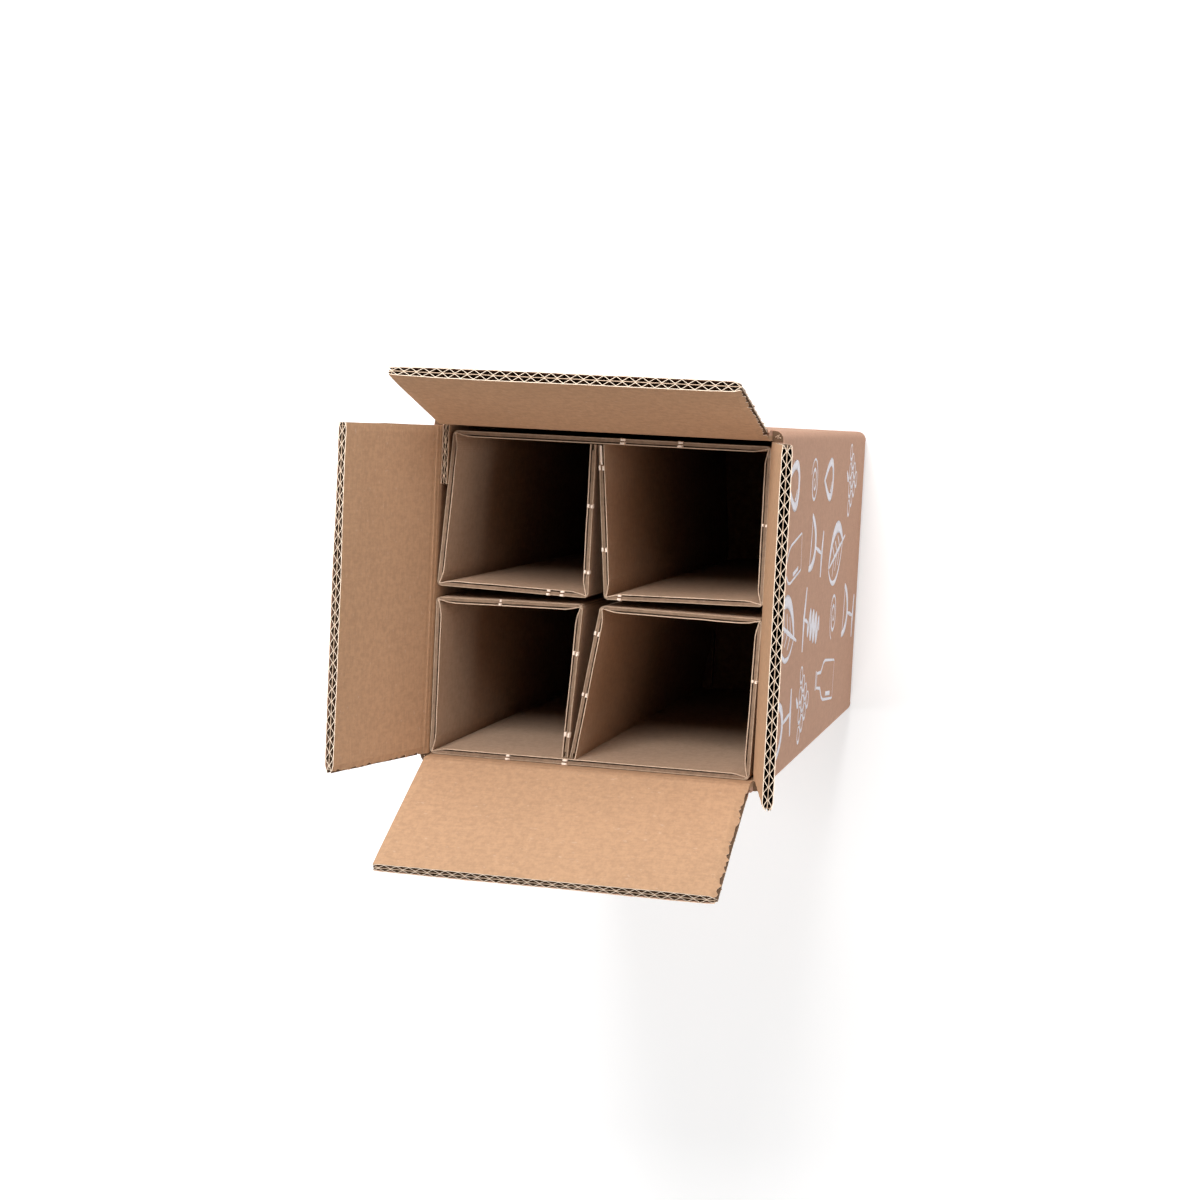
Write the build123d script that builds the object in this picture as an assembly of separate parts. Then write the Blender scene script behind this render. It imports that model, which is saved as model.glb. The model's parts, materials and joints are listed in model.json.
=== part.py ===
"""Bottle shipping box: an upright slotted carton of double-wall corrugated board.

The closed end stands on the floor and the four mouth flaps stand open on their creases.
Two folded single-wall sheets inside the carton make its four bottle cells.

Millimetres and degrees. +Z is up, the front wall faces -Y, and the origin is the centre of
the underside. The front and rear flaps are the outer pair: closed, they lie on the left and
right flaps, so their creases are one board higher.
"""
import os
from math import radians, tan

from build123d import *

# Carton
outer_width = 190.0  # left wall to right wall, outside
outer_depth = 190.0  # front wall to rear wall, outside
mouth_height = 388.0  # floor to the creases of the front and rear flaps
board = 5.6  # double-wall board
corner_radius = 5.5  # outside of the upright corner folds
end_fold_radius = 4.5  # outside of the folds at the closed end
slot_clearance = 0.7  # side edge of a closed flap to the wall beside it
slot_overcut = 6.0  # mouth slots run on below the side creases
meeting_gap = 2.0  # between the free edges of a closed pair
pair_clearance = 0.4  # between the closed inner pair and the outer pair above it

# Glue lap, which hangs from the rear wall and is pressed flat on the left wall
lap_width = 32.0
lap_thickness = 3.6
lap_trim = 0.8  # closed end to the lap's lower end
lap_drop = 5.0  # closed mouth flaps to the lap's cut end

# Creases, with swings counted from straight up
closed_swing_angle = 90.0
folded_back_swing_angle = 135.0
spare_swing_angle = 2.0
web_radius = 0.7  # crushed core of a crease
web_gap = 0.3

# Outward lean of the open flaps, from straight up
front_lean_angle = 28.2
rear_lean_angle = 14.7
left_lean_angle = 13.5
right_lean_angle = 12.0

# Double-wall section: two fluted layers, mirrored about the middle liner
liner = 0.45
medium = 0.40
flute_pitch = 6.5
flute_foot = 0.70  # half width of a flute's glued foot
flute_crest = 0.50  # half width of a channel under a flute's crest
flute_stop = 1.5  # crushed crease to the blind ends of the channels

# Folded inserts
sheet = 3.2  # single-wall sheet
sheet_liner = 0.5
fit_gap = 0.4  # insert to carton
sheet_fold_radius = 2.4  # outside of a fold
mouth_drop = 1.2  # closed flaps to the mouth edges of the inserts
mouth_groove = 2.0  # depth of the open flute between the liners at the mouth edge
free_edge_gap = 0.5  # free edges of an insert to its full panel
centre_gap = 1.2  # between the two free edges of one insert
rear_gap = 3.0  # rear insert's full panel to the rear wall
rear_drop = 2.6  # rear insert's side corners, behind the middle of the carton
rear_centre_drop = 1.0  # rear insert's centre corners, behind the middle of the carton
rear_centre_shift = -4.6  # rear insert's free edges, from the middle of the carton
rear_left_skew = -0.4  # centre corners of the rear insert, from its free edges
rear_right_skew = 7.0
front_drop = 3.6
front_centre_drop = 2.5
front_centre_shift = -12.0
front_left_skew = 4.6
front_right_skew = 12.6
front_wall_skew = 2.2  # right wall of the front insert, leaning in at the front

# Derived sizes
inner_half_width = outer_width / 2 - board
inner_half_depth = outer_depth / 2 - board
crease_x = outer_width / 2 - board / 2
crease_y = outer_depth / 2 - board / 2
side_crease_height = mouth_height - board - pair_clearance
end_thickness = 2 * board
closed_flap_face = side_crease_height - board / 2
front_flap_half_width = inner_half_width - slot_clearance
side_flap_half_width = inner_half_depth - slot_clearance
front_flap_length = crease_y - meeting_gap / 2
side_flap_length = crease_x - meeting_gap / 2
inner_bevel = board / 2 * tan(radians(closed_swing_angle + spare_swing_angle) / 2)
outer_bevel = board / 2 * tan(radians(folded_back_swing_angle + spare_swing_angle) / 2)
insert_top = closed_flap_face - mouth_drop


def about_axis(compass, piece):
    """Turns a piece built for the rear wall round the carton's axis."""
    return Rot(0, 0, compass) * piece


def wall_panel(crease_distance, crease_height, end_level, half_width, end_reach):
    """One wall with its folded end flap, built at the rear: full thickness between the creases."""
    outside = crease_distance + board / 2
    inside = crease_distance - board / 2
    web = web_radius + web_gap
    web_inside = crease_distance - web * board / 2 / inner_bevel
    web_outside = crease_distance + web * board / 2 / outer_bevel
    outline = Polyline(
        (outside, end_level),
        (outside, crease_height - outer_bevel),
        (web_outside, crease_height - web),
        (web_inside, crease_height - web),
        (inside, crease_height - inner_bevel),
        (inside, end_level + board),
        (end_reach, end_level + board),
        (end_reach, end_level),
        close=True,
    )
    section = make_face(outline)
    fold_edge = section.vertices().sort_by_distance((outside, end_level))[0]
    section = fillet(fold_edge, end_fold_radius)
    return extrude(Plane.YZ * section, half_width, both=True)


def corner_posts():
    """The four upright corner folds, cut off square by the slots at both ends."""
    corners = RectangleRounded(outer_width, outer_depth, corner_radius)
    corners -= Rectangle(2 * inner_half_width, 2 * inner_half_depth)
    corners -= Rectangle(2 * front_flap_half_width, outer_depth)
    corners -= Rectangle(outer_width, 2 * side_flap_half_width)
    slot_end = board + board / 2
    return Pos(0, 0, slot_end) * extrude(corners, side_crease_height - slot_overcut - slot_end)


def glue_lap():
    """The strip of the rear wall that is glued inside the left wall."""
    bottom = end_thickness + lap_trim
    return Pos(-inner_half_width, inner_half_depth, bottom) * Box(
        lap_thickness,
        lap_width,
        closed_flap_face - lap_drop - bottom,
        align=(Align.MIN, Align.MAX, Align.MIN),
    )


def carton_body():
    """Four walls, the closed end and the glue lap: one folded sheet."""
    end_reach = meeting_gap / 2
    front_and_rear = wall_panel(crease_y, mouth_height, 0.0, front_flap_half_width, end_reach)
    left_and_right = wall_panel(
        crease_x, side_crease_height, board, side_flap_half_width, end_reach
    )
    walls = [about_axis(compass, front_and_rear) for compass in (0, 180)]
    walls += [about_axis(compass, left_and_right) for compass in (90, 270)]
    return corner_posts() + walls + glue_lap()


def flute_channels(half_width, length):
    """Air channels of both fluted layers, open at the free edge and blind at the crease."""
    flute_height = (board - 3 * liner) / 2
    pitches = int(2 * (half_width - liner) / flute_pitch)
    mouth = flute_pitch / 2 - flute_foot
    inner_level = liner / 2
    outer_level = inner_level + flute_height
    depth = length - outer_bevel - flute_stop
    under_crest = [
        (-mouth, inner_level),
        (mouth, inner_level),
        (flute_crest, outer_level - medium),
        (-flute_crest, outer_level - medium),
    ]
    over_foot = [
        (-mouth, outer_level),
        (mouth, outer_level),
        (flute_crest, inner_level + medium),
        (-flute_crest, inner_level + medium),
    ]
    channels = []
    for step in range(2 * pitches - 1):
        profile = over_foot if step % 2 else under_crest
        along = (step + 1 - pitches) * flute_pitch / 2
        for side in (1, -1):
            section = make_face(Polyline(*[(x, side * y) for x, y in profile], close=True))
            channels.append(Pos(along, 0, length - depth) * extrude(section, depth, dir=(0, 0, 1)))
    return channels


def fluted_flap(half_width, length):
    """A mouth flap that stands straight up, with its crease on the X axis and its outside at +Y."""
    outline = Polyline(
        (0, 0),
        (board / 2, outer_bevel),
        (board / 2, length),
        (-board / 2, length),
        (-board / 2, inner_bevel),
        close=True,
    )
    section = make_face(outline) + Circle(web_radius)
    blank = extrude(Plane.YZ * section, half_width, both=True)
    return blank - flute_channels(half_width, length)


def on_crease(compass, crease_distance, crease_height, lean, flap):
    """A flap leaned out on its crease and turned to its wall."""
    return about_axis(compass, Pos(0, crease_distance, crease_height) * Rot(-lean, 0, 0) * flap)


def inside_of(corners, thickness):
    """Inner face of a folded strip, whose outer face lies left of the way its corners run.

    Its two free edges are cut along X, flush with the full panel that they meet.
    """
    points = [Vector(*corner) for corner in corners]
    normals = [
        (end - start).normalized().rotate(Axis.Z, 90) for start, end in zip(points, points[1:])
    ]
    inner = [points[0] - Vector(thickness / normals[0].X, 0)]
    for point, before, after in zip(points[1:], normals, normals[1:]):
        inner.append(point - (before + after) * (thickness / (1 + before.dot(after))))
    return inner + [points[-1] - Vector(thickness / normals[-1].X, 0)]


def strip_section(corners, thickness):
    """Section of a sheet folded at each corner of its outer face."""
    outline = [Vector(*corner) for corner in corners]
    outline += reversed(inside_of(corners, thickness))
    return make_face(Polyline(*outline, close=True))


def folded_insert(corners):
    """Two bottle cells folded from one sheet, standing on the closed end."""
    section = strip_section(corners, sheet)
    folds = [section.vertices().sort_by_distance(corner)[0] for corner in corners[1:-1]]
    section = fillet(folds, sheet_fold_radius)
    insert = Pos(0, 0, end_thickness) * extrude(section, insert_top - end_thickness)
    flute = strip_section(inside_of(corners, sheet_liner), sheet - 2 * sheet_liner)
    groove = Pos(0, 0, insert_top - mouth_groove) * extrude(flute, mouth_groove)
    return insert - groove


def rear_insert_corners():
    """Outer face of the rear insert, from its left free edge round to its right free edge."""
    left = fit_gap - inner_half_width
    right = inner_half_width - fit_gap
    rear = inner_half_depth - rear_gap
    free_edge = rear - sheet - free_edge_gap
    lap_corner = Vector(left + lap_thickness, inner_half_depth - lap_width - fit_gap)
    wall_lean = lap_thickness / (lap_corner.Y - rear_drop)
    right_free = rear_centre_shift + centre_gap
    return [
        (rear_centre_shift, free_edge),
        (rear_centre_shift + rear_left_skew, rear_centre_drop),
        (left, rear_drop),
        (left + wall_lean * (rear - rear_drop), rear),
        (right, rear),
        (right, rear_drop),
        (right_free + rear_right_skew, rear_centre_drop),
        (right_free, free_edge),
    ]


def front_insert_corners():
    """Outer face of the front insert, mirrored so that its full panel is at the rear."""
    left = fit_gap - inner_half_width
    right = inner_half_width - fit_gap
    rear = inner_half_depth - fit_gap
    free_edge = rear - sheet - free_edge_gap
    right_free = front_centre_shift + centre_gap
    return [
        (front_centre_shift, free_edge),
        (front_centre_shift + front_left_skew, front_centre_drop),
        (left, front_drop),
        (left, rear),
        (right - front_wall_skew, rear),
        (right, front_drop),
        (right_free + front_right_skew, front_centre_drop),
        (right_free, free_edge),
    ]


front_flap = fluted_flap(front_flap_half_width, front_flap_length)
side_flap = fluted_flap(side_flap_half_width, side_flap_length)

nodes = {
    "carton_body": carton_body(),
    "flap_rear": on_crease(0, crease_y, mouth_height, rear_lean_angle, front_flap),
    "flap_left": on_crease(90, crease_x, side_crease_height, left_lean_angle, side_flap),
    "flap_front": on_crease(180, crease_y, mouth_height, front_lean_angle, front_flap),
    "flap_right": on_crease(270, crease_x, side_crease_height, right_lean_angle, side_flap),
    "insert_rear": folded_insert(rear_insert_corners()),
    "insert_front": mirror(folded_insert(front_insert_corners()), about=Plane.XZ),
}

os.makedirs("parts", exist_ok=True)
for name, solid in nodes.items():
    export_step(solid, f"parts/{name}.step")
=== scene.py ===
"""Bottle shipping box: fine form and finish of the carton, its mouth flaps and its folded inserts.

Metres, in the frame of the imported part: +Z is up, the front wall faces -Y, and the origin is the
centre of the underside. Board is modelled upright on the X axis, outside towards +Y, and is then
put on its crease.
"""
import json
from math import asin, cos, exp, hypot, pi, radians, sin, tan

import bmesh
import bpy
from mathutils import Matrix, Vector


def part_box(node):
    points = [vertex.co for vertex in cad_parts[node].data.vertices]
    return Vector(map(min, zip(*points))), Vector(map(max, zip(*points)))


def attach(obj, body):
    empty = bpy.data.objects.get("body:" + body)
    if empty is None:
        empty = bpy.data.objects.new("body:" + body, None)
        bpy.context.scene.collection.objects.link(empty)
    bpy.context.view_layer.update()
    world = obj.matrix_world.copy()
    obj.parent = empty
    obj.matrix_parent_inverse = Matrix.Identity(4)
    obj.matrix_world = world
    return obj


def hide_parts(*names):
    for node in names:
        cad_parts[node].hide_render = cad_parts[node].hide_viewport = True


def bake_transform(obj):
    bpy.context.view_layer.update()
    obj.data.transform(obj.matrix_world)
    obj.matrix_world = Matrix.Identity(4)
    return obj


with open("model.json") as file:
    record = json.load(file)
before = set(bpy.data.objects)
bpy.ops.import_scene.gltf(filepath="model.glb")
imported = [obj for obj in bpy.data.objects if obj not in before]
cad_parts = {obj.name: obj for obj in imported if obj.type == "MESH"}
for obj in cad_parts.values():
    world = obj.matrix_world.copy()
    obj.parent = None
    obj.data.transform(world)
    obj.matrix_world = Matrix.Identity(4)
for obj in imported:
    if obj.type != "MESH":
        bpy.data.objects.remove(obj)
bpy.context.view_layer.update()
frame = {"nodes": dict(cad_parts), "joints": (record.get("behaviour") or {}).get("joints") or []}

MM = 0.001

# How near two places are to count as one: as a rule, and where an operator has placed them
SLACK = 1e-6
LOOSE_SLACK = 1e-5

# Double-wall board of the carton: three liners and two fluted layers
BOARD = 5.6 * MM
LINER = 0.34 * MM
MEDIUM = 0.28 * MM
FLUTE_PITCH = 6.5 * MM
FLUTE_SHARPNESS = 0.97
FLUTE_COLUMNS = 12
FLUTE_ROWS = 6
FLUTE_DRIFT = 1.1 * MM
FLUTE_BUCKLE = 0.35 * MM
LINER_LEVEL = (BOARD - LINER) / 2
OUTER_WIDTH = 190.0 * MM
WALL_MIDDLE = (OUTER_WIDTH - BOARD) / 2
LINER_COLUMNS = 44
LINER_ROW = 1.85 * MM
EDGE_WAVER = 0.10 * MM
SLOT_FRAY = 1.6 * MM
FRAY_CURL = 0.3

# Creases of the mouth flaps
CLOSED_SWING = 90.0
FOLDED_BACK_SWING = 135.0
SWING_CLEARANCE = 2.0
MEETING_GAP = 2.0 * MM
INNER_BEVEL = BOARD / 2 * tan(radians(CLOSED_SWING + SWING_CLEARANCE) / 2)
OUTER_BEVEL = BOARD / 2 * tan(radians(FOLDED_BACK_SWING + SWING_CLEARANCE) / 2)
CREASE_ROWS = 12
CREASE_COLUMNS = LINER_COLUMNS
INNER_SCORE = 0.35 * MM
OUTER_SCORE = 1.10 * MM
SCORE_WIDTH = 0.38

# Mouth flaps, turned from the rear wall by their compass. Phase shifts the flutes by a share of their
# pitch, ripple is the grain of their unevenness in millimetres, frayed is the end on X with the torn
# slot edge, and scores are heights of pressed lines above the crease in millimetres. Edge is the share
# of the thickness that handling has left along the free edge, from left to right seen from inside.
FLAPS = {
    "rear": {
        "compass": 0, "phase": 0.10, "ripple": 21, "frayed": 1, "seed": 3, "scores": (),
        "edge": (0.74, 0.92, 1.0, 1.0, 0.97, 1.0, 1.0, 0.95),
    },
    "left": {
        "compass": 90, "phase": 0.45, "ripple": 16, "frayed": -1, "seed": 5, "scores": (2.2, 5.6),
        "edge": (0.90, 0.98, 1.0, 0.97, 1.0, 0.84, 0.78, 0.86),
    },
    "front": {
        "compass": 180, "phase": 0.70, "ripple": 18, "frayed": -1, "seed": 8, "scores": (),
        "edge": (0.88, 0.96, 0.92, 0.84, 0.90, 0.94, 0.90, 0.84),
    },
    "right": {
        "compass": 270, "phase": 0.30, "ripple": 25, "frayed": 1, "seed": 13, "scores": (),
        "edge": (0.94, 1.0, 1.0, 0.98, 1.0, 1.0, 1.0, 1.0),
    },
}
FLAP_SCORE = 0.13 * MM
CAGE_COLUMNS = LINER_COLUMNS + 1
CAGE_ROWS = 7
SLOT_PINCH = 0.84
FRAYED_PINCH = 0.55
CRUSH_INSET = 1.6 * MM
CRUSH_DEPTH = 0.4 * MM
CRUSH_COLUMNS = 2

# Cut end of the glue lap, which stands on the lap in the rear left corner
LAP_WIDTH = 32.0 * MM
LAP_THICKNESS = 3.6 * MM
LAP_LOW = 374.2 * MM
LAP_HIGH = 378.4 * MM
LAP_PAPER = {"phase": 0.2, "ripple": 9, "frayed": 0, "seed": 21}

# Cut ends of the four slots, on the tops of the corner folds, and their torn fibres
SLOT_INSET = 3.2 * MM
SLOT_LEVEL = 376.0 * MM
SLOT_CUT_SIDE = 5.8 * MM
SLOT_CUT_HEIGHT = 0.3 * MM
SLOT_CUT_RADIUS = 4.6 * MM
TUFT_FLAKES = 6
TUFT_REACH = 1.5 * MM
TUFT_LENGTH = 1.1 * MM
TUFT_WIDTH = 0.18 * MM
TUFT_HEIGHT = 0.9 * MM
TUFT_TILT = 0.5  # radians
TUFT_SEEDS = (31, 41)
GOLDEN_TURN = radians(137.5)

# Folded inserts of single-wall sheet
SHEET = 3.2 * MM
SHEET_LINER = 0.5 * MM
SHEET_MEDIUM = 0.35 * MM
PINCH = 0.55 * MM
PINCH_REACH = 8.0 * MM
FOLD_RADIUS = 2.4 * MM
SOFT_RADIUS = 2.6 * MM
FOLD_SEGMENTS = 4
LINER_CUTS = 5
OUTER_SEED = 4
INNER_SEED = 9
MOUTH_WAVER = 0.16 * MM
MEDIUM_RECESS = 0.5 * MM
WAVE_STEPS = 4
CREST_ROW = 1
TROUGH_ROW = 3
BAND_WIDTH = 1.45 * MM
BAND_HEIGHT = 2.0 * MM
BAND_RECESS = 0.25 * MM
BAND_STOP = 3.0 * MM
BAND_WAVER = 0.22 * MM
BAND_CUTS = 15
BAND_SEED = 2

# Outer faces of the inserts in millimetres, with the outside on the right of the way they run
INSERTS = {
    "rear": [
        (-3.4, 82.7), (3.6, 1.0), (89.0, 2.6), (89.0, 86.4),
        (-83.45, 86.4), (-89.0, 2.6), (-5.0, 1.0), (-4.6, 82.7),
    ],
    "front": [
        (-12.0, -85.3), (-7.4, -2.5), (-89.0, -3.6), (-89.0, -89.0),
        (86.8, -89.0), (89.0, -3.6), (1.8, -2.5), (-10.8, -85.3),
    ],
}

# Nicks that held the inserts in their blank, torn from both liners, and one longer torn sliver:
# panel of the insert, share of its length, and how long the tear is in millimetres
NICKS = {
    "rear": [
        (0, 0.15, 2.8), (0, 0.68, 2.4), (6, 0.17, 2.0), (6, 0.60, 2.2), (3, 0.28, 3.0), (3, 0.46, 3.2),
        (1, 0.10, 2.2), (5, 0.74, 2.0), (5, 0.83, 2.4), (2, 0.51, 1.6),
    ],
    "front": [
        (0, 0.15, 2.8), (0, 0.68, 2.4), (6, 0.18, 2.4), (6, 0.58, 2.2), (3, 0.25, 2.4), (3, 0.43, 3.0),
        (4, 0.61, 1.6), (1, 0.56, 1.4),
    ],
}
SLIVERS = {"rear": [(0, 0.075, 11.0)], "front": []}
NICK_DEPTHS = (0.2 * MM, 2.1 * MM)
NICK_LEANS = (-0.3 * MM, 0.2 * MM)
SLIVER_DEPTH = 1.2 * MM
SLIVER_LEAN = -1.5 * MM
NICK_WIDTH = 0.6 * MM
NICK_HEIGHT = 0.95 * MM
FLAKE_RAGGED = 0.15 * MM
FLAKE_TAPER = (0.75, 0.80, 1.0)
FLAKE_CUTS = 2

# White print on the right wall: motif, place across and up the wall in millimetres, size and turn
PRINT = [
    ("glass", -62, 296, 34, 6), ("leaf", -20, 300, 38, -12), ("bottle", 28, 288, 25, 8),
    ("drop", 64, 312, 30, -6), ("grapes", -62, 222, 25, 0), ("corkscrew", -24, 196, 34, -10),
    ("glass", 22, 200, 35, -10), ("tendril", 66, 250, 26, 0), ("bottle", -62, 112, 29, -5),
    ("leaf", 26, 104, 40, 14), ("drop", 66, 168, 28, 0), ("tendril", -20, 130, 28, 90),
    ("glass", -28, 26, 36, -8), ("grapes", 64, 44, 26, 0),
]
INK_LIFT = 0.04 * MM
INK_THICKNESS = 0.06 * MM
STROKE_STEPS = 24
FINE_STROKE = 0.085
BROAD_STROKE = 0.20
STROKE_TIP = 0.5

# Finish of the papers and the ink: scales of their grain per metre, and how strongly each shows
CLOUD_SCALE = 16.0
FORMATION_SCALE = 320.0
UPRIGHT_FIBRES = (900.0, 900.0, 120.0)
LEVEL_FIBRES = (140.0, 140.0, 1000.0)
DARK_GRAIN = (520.0, 520.0, 300.0)
PALE_GRAIN = (300.0, 300.0, 560.0)
GRAIN_ROUGHNESS = 0.55
DARK_FLECKS = 0.50
PALE_FLECKS = 0.46
LINE_PATCHES = 30.0
BOARD_LINES = 0.10
SHEET_LINES = 0.22
SIDE_FACING = 0.6
INK_GRAIN = 700.0
INK_WEAR = 60.0
PAPER_SHINE = 0.18
BOARD_ROUGHNESS = 0.9
SHEET_ROUGHNESS = 0.92
RAW_ROUGHNESS = 0.95
INK_ROUGHNESS = 0.75
BOARD_RELIEF = 0.08 * MM
SHEET_RELIEF = 0.10 * MM
RAW_RELIEF = 0.12 * MM
INK_RELIEF = 0.03 * MM

# Photograph's frame and camera
PHOTO_PIXELS = 1200.0
FOCAL_PIXELS = 2300.7
SENSOR_WIDTH = 36.0
CAMERA_PLACE = Vector((0.27432, 0.10124, 1.56493))
CAMERA_RIGHT = Vector((0.97251, 0.04916, -0.22762))
CAMERA_UP = Vector((-0.0665, 0.99539, -0.06914))
CAMERA_FORWARD = Vector((-0.22317, -0.08238, -0.97129))

# Studio, with the place, the power and the side of each square lamp
LAMPS = {
    "back_low": ((-0.05, 1.45, 1.15), 7.2, 1.0),
    "back_high": ((-0.05, 0.92, 1.72), 24.0, 0.60),
    "front": ((0.10, -1.25, 1.35), 9.3, 1.0),
    "right": ((1.38, 0.05, 1.20), 8.8, 1.0),
    "left": ((-1.30, 0.10, 1.30), 14.6, 1.0),
}
LAMP_AIM = Vector((0, 0, 0.40))
FILL_LIGHT = 0.048
FLOOR_SIZE = 12.0
FLOOR_GREY = (0.80, 0.80, 0.80, 1)
FLOOR_GLOW = 0.34
WHITE = (1, 1, 1, 1)


# Working by hand

def select_only(*pieces):
    """Leaves only these objects selected, the first of them active."""
    bpy.ops.object.select_all(action="DESELECT")
    for piece in pieces:
        piece.select_set(True)
    bpy.context.view_layer.objects.active = pieces[0]


def edit(piece):
    """Opens a piece in edit mode with nothing selected in it."""
    select_only(piece)
    bpy.ops.object.mode_set(mode="EDIT")
    bpy.ops.mesh.select_mode(type="VERT")
    bpy.ops.mesh.select_all(action="DESELECT")


def done():
    bpy.ops.object.mode_set(mode="OBJECT")


def pick_points(piece, rule):
    """Selects the points of the piece in edit mode that the rule takes, by their place."""
    shape = bmesh.from_edit_mesh(piece.data)
    for point in shape.verts:
        point.select = rule(point.co)
    shape.select_flush(True)
    shape.select_flush(False)
    bmesh.update_edit_mesh(piece.data)


def pick_edges(piece, rule):
    """Selects the edges of the piece in edit mode that the rule takes, by their two ends."""
    bpy.ops.mesh.select_mode(type="EDGE")
    shape = bmesh.from_edit_mesh(piece.data)
    for edge in shape.edges:
        edge.select = rule(edge.verts[0].co, edge.verts[1].co)
    bmesh.update_edit_mesh(piece.data)


def shift(piece, rule, offset):
    """Moves the picked points of a piece in edit mode."""
    pick_points(piece, rule)
    bpy.ops.transform.translate(value=offset)


def shake(piece, rule, reach, seed):
    """Moves each picked point of a piece in edit mode at random, the same way on each run."""
    pick_points(piece, rule)
    bpy.ops.transform.vertex_random(offset=reach, seed=seed, wait_for_input=False)


def near(value, target, slack=SLACK):
    return abs(value - target) < slack


def round_upright(piece, rule, radius):
    """Rounds the upright edges of a piece that the rule takes, by their place."""
    edit(piece)
    pick_edges(piece, lambda one, two: near(one.x, two.x) and near(one.y, two.y) and rule(one))
    bpy.ops.mesh.bevel(offset=radius, offset_type="OFFSET", segments=FOLD_SEGMENTS, affect="EDGES")
    done()


def subdivide(cuts):
    """Divides every face of the piece in edit mode."""
    bpy.ops.mesh.select_all(action="SELECT")
    bpy.ops.mesh.subdivide(number_cuts=cuts)


def trim(place, way):
    """Cuts the piece in edit mode across at a place, and clears what lies beyond it."""
    bpy.ops.mesh.select_all(action="SELECT")
    bpy.ops.mesh.bisect(plane_co=place, plane_no=way, clear_outer=True)


def added(operator, **settings):
    """Adds an object by its operator, with nothing else selected."""
    bpy.ops.object.select_all(action="DESELECT")
    operator(**settings)
    return bpy.context.object


def modify(piece, kind, **settings):
    """Adds a modifier with its settings and applies it."""
    select_only(piece)
    made = piece.modifiers.new(kind.lower(), kind)
    for name, value in settings.items():
        setattr(made, name, value)
    bpy.ops.object.modifier_apply(modifier=made.name)


def repeat(piece, count, step):
    """Repeats a piece in equal steps, each copy joined to the one before it."""
    modify(
        piece, "ARRAY", count=count, use_relative_offset=False, use_constant_offset=True,
        constant_offset_displace=step, use_merge_vertices=True, merge_threshold=SLACK,
    )


def settle(piece, place):
    """Puts a piece in place and keeps the place in its mesh."""
    piece.matrix_world = place
    select_only(piece)
    bpy.ops.object.transform_apply(location=True, rotation=True, scale=True)


def join(name, pieces):
    """Makes one piece of several."""
    select_only(*pieces)
    bpy.ops.object.join()
    pieces[0].name = name
    return pieces[0]


def upright_sheet(name, width, low, high, columns, rows):
    """A flat sheet that stands on the X axis between two heights."""
    piece = added(
        bpy.ops.mesh.primitive_grid_add, x_subdivisions=columns, y_subdivisions=rows, size=1.0,
        rotation=(pi / 2, 0, 0),
    )
    piece.name = name
    bpy.ops.transform.resize(value=(width, 1, high - low))
    bpy.ops.transform.translate(value=(0, 0, (low + high) / 2))
    bpy.ops.object.transform_apply(location=True, rotation=True, scale=True)
    return piece


def finish_with(piece, *materials):
    """Gives a piece its materials: the face of the paper, then its cut edge."""
    piece.data.materials.clear()
    for material in materials:
        piece.data.materials.append(material)


def thicken(piece, thickness, offset=0.0):
    """Gives a sheet its thickness, with the cut edge material on its rim."""
    modify(
        piece, "SOLIDIFY", thickness=thickness, offset=offset, use_even_offset=True,
        use_rim=True, material_offset_rim=1,
    )


# Shader nodes

def node(tree, kind, settings=None, **sockets):
    """Adds a shader node with its settings, and its sockets' values or links."""
    made = tree.nodes.new("ShaderNode" + kind)
    for name, value in (settings or {}).items():
        setattr(made, name, value)
    for name, value in sockets.items():
        feed(tree, made.inputs[name.replace("_", " ")], value)
    return made


def feed(tree, socket, value):
    if isinstance(value, bpy.types.NodeSocket):
        tree.links.new(value, socket)
    else:
        socket.default_value = value


def maths(tree, operation, first, second=0.0):
    made = tree.nodes.new("ShaderNodeMath")
    made.operation = operation
    feed(tree, made.inputs[0], first)
    feed(tree, made.inputs[1], second)
    return made.outputs[0]


def blended(tree, *parts):
    """The sum of several values, each with its weight."""
    total = maths(tree, "MULTIPLY", *parts[0])
    for value, weight in parts[1:]:
        total = maths(tree, "ADD", total, maths(tree, "MULTIPLY", value, weight))
    return total


def mixed(tree, share, first, second):
    """Two colours mixed by a share."""
    made = tree.nodes.new("ShaderNodeMix")
    made.data_type = "RGBA"
    feed(tree, made.inputs[0], share)
    feed(tree, made.inputs[6], first)
    feed(tree, made.inputs[7], second)
    return made.outputs[2]


def ramp(tree, value, low, high):
    """A value brought from low and high to 0 and 1."""
    made = node(tree, "MapRange", {"interpolation_type": "SMOOTHSTEP"}, Value=value)
    made.inputs["From Min"].default_value = low
    made.inputs["From Max"].default_value = high
    return made.outputs[0]


def noise(tree, vector, scale, detail, roughness=GRAIN_ROUGHNESS):
    made = node(tree, "TexNoise", Vector=vector, Scale=scale, Detail=detail, Roughness=roughness)
    return made.outputs[0]


def streaks(tree, vector, scales, detail, roughness=GRAIN_ROUGHNESS):
    """Noise with a scale of its own along each axis."""
    made = tree.nodes.new("ShaderNodeVectorMath")
    made.operation = "MULTIPLY"
    feed(tree, made.inputs[0], vector)
    made.inputs[1].default_value = scales
    return noise(tree, made.outputs[0], 1.0, detail, roughness)


def new_group(name, inputs, outputs):
    """An empty shader node group with named sockets."""
    tree = bpy.data.node_groups.new(name, "ShaderNodeTree")
    for label, kind in inputs:
        tree.interface.new_socket(label, in_out="INPUT", socket_type="NodeSocket" + kind)
    for label, kind in outputs:
        tree.interface.new_socket(label, in_out="OUTPUT", socket_type="NodeSocket" + kind)
    entry = tree.nodes.new("NodeGroupInput")
    leave = tree.nodes.new("NodeGroupOutput")
    return tree, entry.outputs, leave.inputs


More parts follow.
